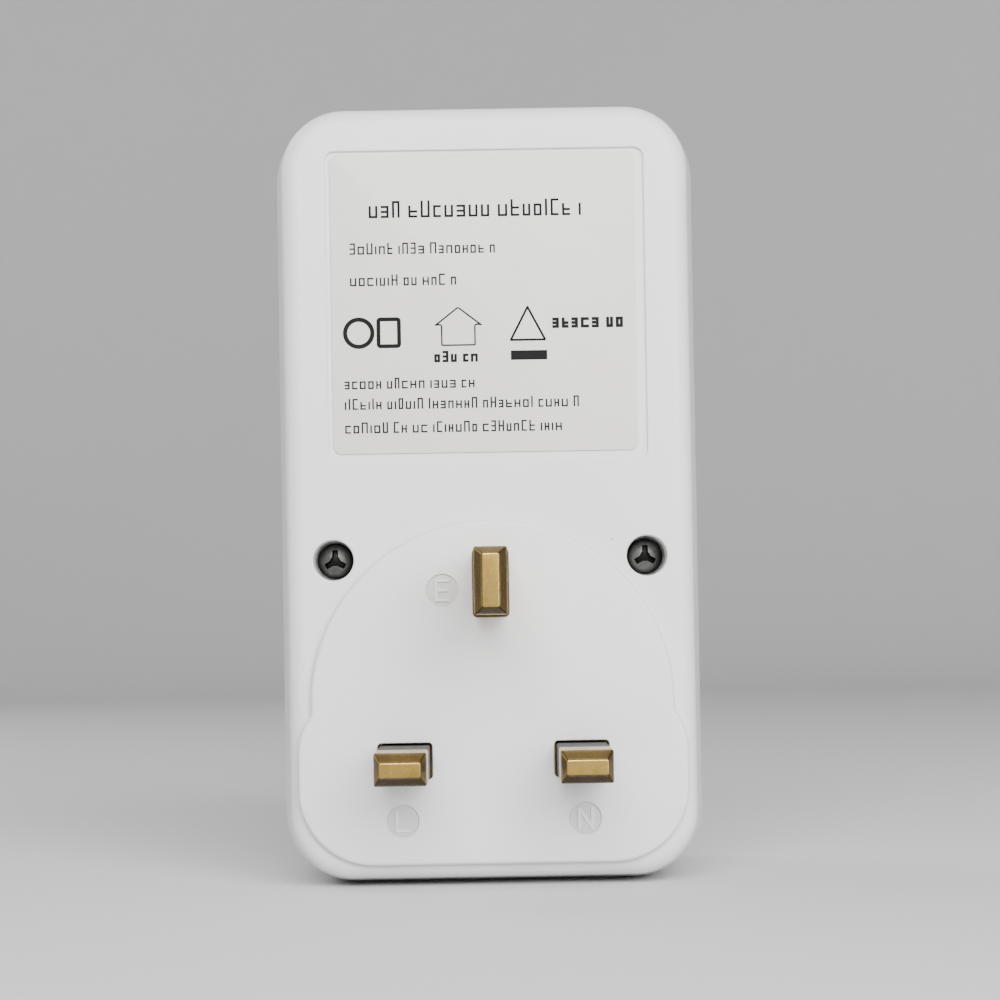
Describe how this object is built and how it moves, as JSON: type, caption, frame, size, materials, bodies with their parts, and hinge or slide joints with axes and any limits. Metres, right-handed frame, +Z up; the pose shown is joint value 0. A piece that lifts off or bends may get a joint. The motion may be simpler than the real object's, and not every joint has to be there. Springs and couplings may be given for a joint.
{
  "type": "plug-in power meter",
  "caption": "Upright white plug-in power meter: three-pin plug on the back, display, four buttons and shuttered socket on the front.",
  "frame": {"origin": "on the flat face of the raised plug base, midway between the line and neutral pins", "axes": "+Y out of the plug face towards the wall socket, +Z up the casing towards the display end, +X towards the line pin"},
  "size_m": [0.054, 0.0609, 0.1],
  "materials": {
    "white_plastic": "satin white moulded plastic with a fine grain",
    "label_paper": "satin pale grey printed film",
    "brass": "drawn brass, lightly tarnished on the tapers",
    "black_plastic": "matt black plastic",
    "dark_steel": "dark grey plated steel",
    "bright_steel": "bright plated steel",
    "clear_plastic": "clear polished plastic",
    "display_glass": "grey-green display glass",
    "zebra_rubber": "soft pink connector rubber",
    "board_green": "green solder mask",
    "copper": "plain copper",
    "manganin": "dull manganin strip",
    "film_yellow": "yellow moulded case",
    "disc_blue": "blue dipped coating",
    "grey_button": "mid grey rubbery plastic",
    "grey_moulding": "plain grey moulding",
    "red_wire": "red wire insulation",
    "blue_wire": "blue wire insulation"
  },
  "bodies": {
    "casing": {"rear_cover": "white_plastic", "front_cover": "white_plastic", "rating_label": "label_paper", "line_pin": "brass", "neutral_pin": "brass", "earth_pin": "brass", "line_pin_sleeve": "black_plastic", "neutral_pin_sleeve": "black_plastic", "pin_retainer": "grey_moulding", "case_screw_left": "dark_steel", "case_screw_right": "dark_steel", "retainer_screw_left": "bright_steel", "retainer_screw_right": "bright_steel", "board_screw_left": "bright_steel", "board_screw_right": "bright_steel", "window_lens": "clear_plastic", "lcd_glass": "display_glass", "lcd_frame": "white_plastic", "zebra_strip": "zebra_rubber", "main_board": "board_green", "metering_chip": "black_plastic", "crystal_can": "bright_steel", "dropper_capacitor": "film_yellow", "smoothing_capacitor": "black_plastic", "varistor": "disc_blue", "backup_battery": "bright_steel", "contact_carrier": "grey_moulding", "line_contact": "brass", "neutral_contact": "brass", "earth_contact": "brass", "current_shunt": "manganin", "neutral_link": "copper", "earth_link": "copper", "line_sense_wire": "red_wire", "neutral_sense_wire": "blue_wire", "shutter_spring": "bright_steel", "function_switch": "black_plastic", "cost_switch": "black_plastic", "up_switch": "black_plastic", "down_switch": "black_plastic"},
    "function_key": {"function_button": "grey_button", "function_plunger": "grey_moulding"},
    "cost_key": {"cost_button": "grey_button", "cost_plunger": "grey_moulding"},
    "up_key": {"up_button": "grey_button", "up_plunger": "grey_moulding"},
    "down_key": {"down_button": "grey_button", "down_plunger": "grey_moulding"},
    "shutter": {"socket_shutter": "grey_moulding"}
  },
  "joints": [
    {"name": "function_press", "type": "slide", "parent": "casing", "child": "function_key", "axis": [0, 1, 0], "range_m": [0, 0.0005], "stiffness_N_per_m": 60, "springref_m": -0.002},
    {"name": "cost_press", "type": "slide", "parent": "casing", "child": "cost_key", "axis": [0, 1, 0], "range_m": [0, 0.0005], "stiffness_N_per_m": 60, "springref_m": -0.002},
    {"name": "up_press", "type": "slide", "parent": "casing", "child": "up_key", "axis": [0, 1, 0], "range_m": [0, 0.0005], "stiffness_N_per_m": 60, "springref_m": -0.002},
    {"name": "down_press", "type": "slide", "parent": "casing", "child": "down_key", "axis": [0, 1, 0], "range_m": [0, 0.0005], "stiffness_N_per_m": 60, "springref_m": -0.002},
    {"name": "shutter_slide", "type": "slide", "parent": "casing", "child": "shutter", "axis": [0, 0, -1], "range_m": [0, 0.005], "stiffness_N_per_m": 40, "springref_m": -0.003, "deforming": ["shutter_spring"]}
  ]
}
